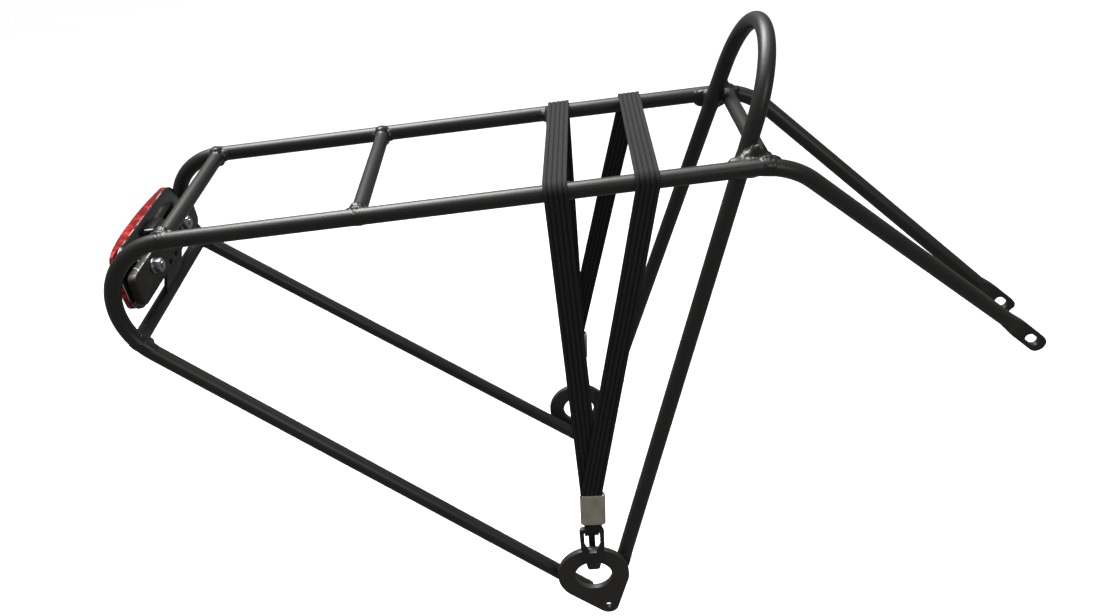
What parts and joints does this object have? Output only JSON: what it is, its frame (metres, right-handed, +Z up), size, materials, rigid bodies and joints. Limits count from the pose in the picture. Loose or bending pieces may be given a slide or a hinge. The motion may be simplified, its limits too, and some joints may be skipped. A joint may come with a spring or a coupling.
{
  "type": "bicycle rear rack",
  "caption": "Welded tube rear rack for a bicycle, with a hooped front end, ring plates at the dropouts, a rear reflector and an elastic luggage strap on hooks.",
  "frame": {"origin": "midway between the two plates, on the axis through their two small lower holes for the dropout bolts", "axes": "+X forward along the bicycle, +Y to the rider's left along the axis of the dropout holes, +Z up, with the platform level"},
  "size_m": [0.5939, 0.2004, 0.3813],
  "materials": {
    "frame_paint": "satin black powder coat",
    "weld_paint": "satin black powder coat over rippled weld beads",
    "reflector_shell": "glossy black moulding",
    "reflector_red": "transparent red prismatic moulding",
    "zinc_steel": "bright zinc plate",
    "webbing": "ribbed woven elastic",
    "nickel_steel": "brushed nickel plate",
    "hook_plastic": "fine matte moulding"
  },
  "bodies": {
    "rack": {"right_side_tube": "frame_paint", "left_side_tube": "frame_paint", "hoop_tube": "frame_paint", "rear_cross_tube": "frame_paint", "rear_middle_cross_tube": "frame_paint", "front_middle_cross_tube": "frame_paint", "front_cross_tube": "frame_paint", "lower_cross_tube": "frame_paint", "right_ring_plate": "frame_paint", "left_ring_plate": "frame_paint", "reflector_bracket": "frame_paint", "weld_beads": "weld_paint", "reflector_back": "reflector_shell", "reflector_lens": "reflector_red", "reflector_studs": "zinc_steel", "reflector_washers": "zinc_steel", "reflector_nuts": "zinc_steel"},
    "rear_band": {"rear_band_top": "webbing", "rear_band_right": "webbing", "rear_band_left": "webbing"},
    "front_band": {"front_band_top": "webbing", "front_band_right": "webbing", "front_band_left": "webbing"},
    "right_strap_hook": {"right_strap_end": "webbing", "right_strap_loop": "webbing", "right_ferrule": "nickel_steel", "right_hook": "hook_plastic"},
    "left_strap_hook": {"left_strap_end": "webbing", "left_strap_loop": "webbing", "left_ferrule": "nickel_steel", "left_hook": "hook_plastic"}
  },
  "joints": [
    {"name": "rear_band_lift", "type": "slide", "parent": "rack", "child": "rear_band", "axis": [0, 0, 1], "range_m": [0, 0.08], "stiffness_N_per_m": 150, "springref_m": -0.05, "deforming": ["rear_band_right", "rear_band_left"]},
    {"name": "front_band_lift", "type": "slide", "parent": "rack", "child": "front_band", "axis": [0, 0, 1], "range_m": [0, 0.08], "stiffness_N_per_m": 150, "springref_m": -0.05, "deforming": ["front_band_right", "front_band_left"]},
    {"name": "right_hook_pull", "type": "slide", "parent": "rack", "child": "right_strap_hook", "axis": [0, 0, -1], "range_m": [0, 0.018], "stiffness_N_per_m": 400, "springref_m": -0.03, "deforming": ["right_strap_end"]},
    {"name": "left_hook_pull", "type": "slide", "parent": "rack", "child": "left_strap_hook", "axis": [0, 0, -1], "range_m": [0, 0.018], "stiffness_N_per_m": 400, "springref_m": -0.03, "deforming": ["left_strap_end"]}
  ]
}
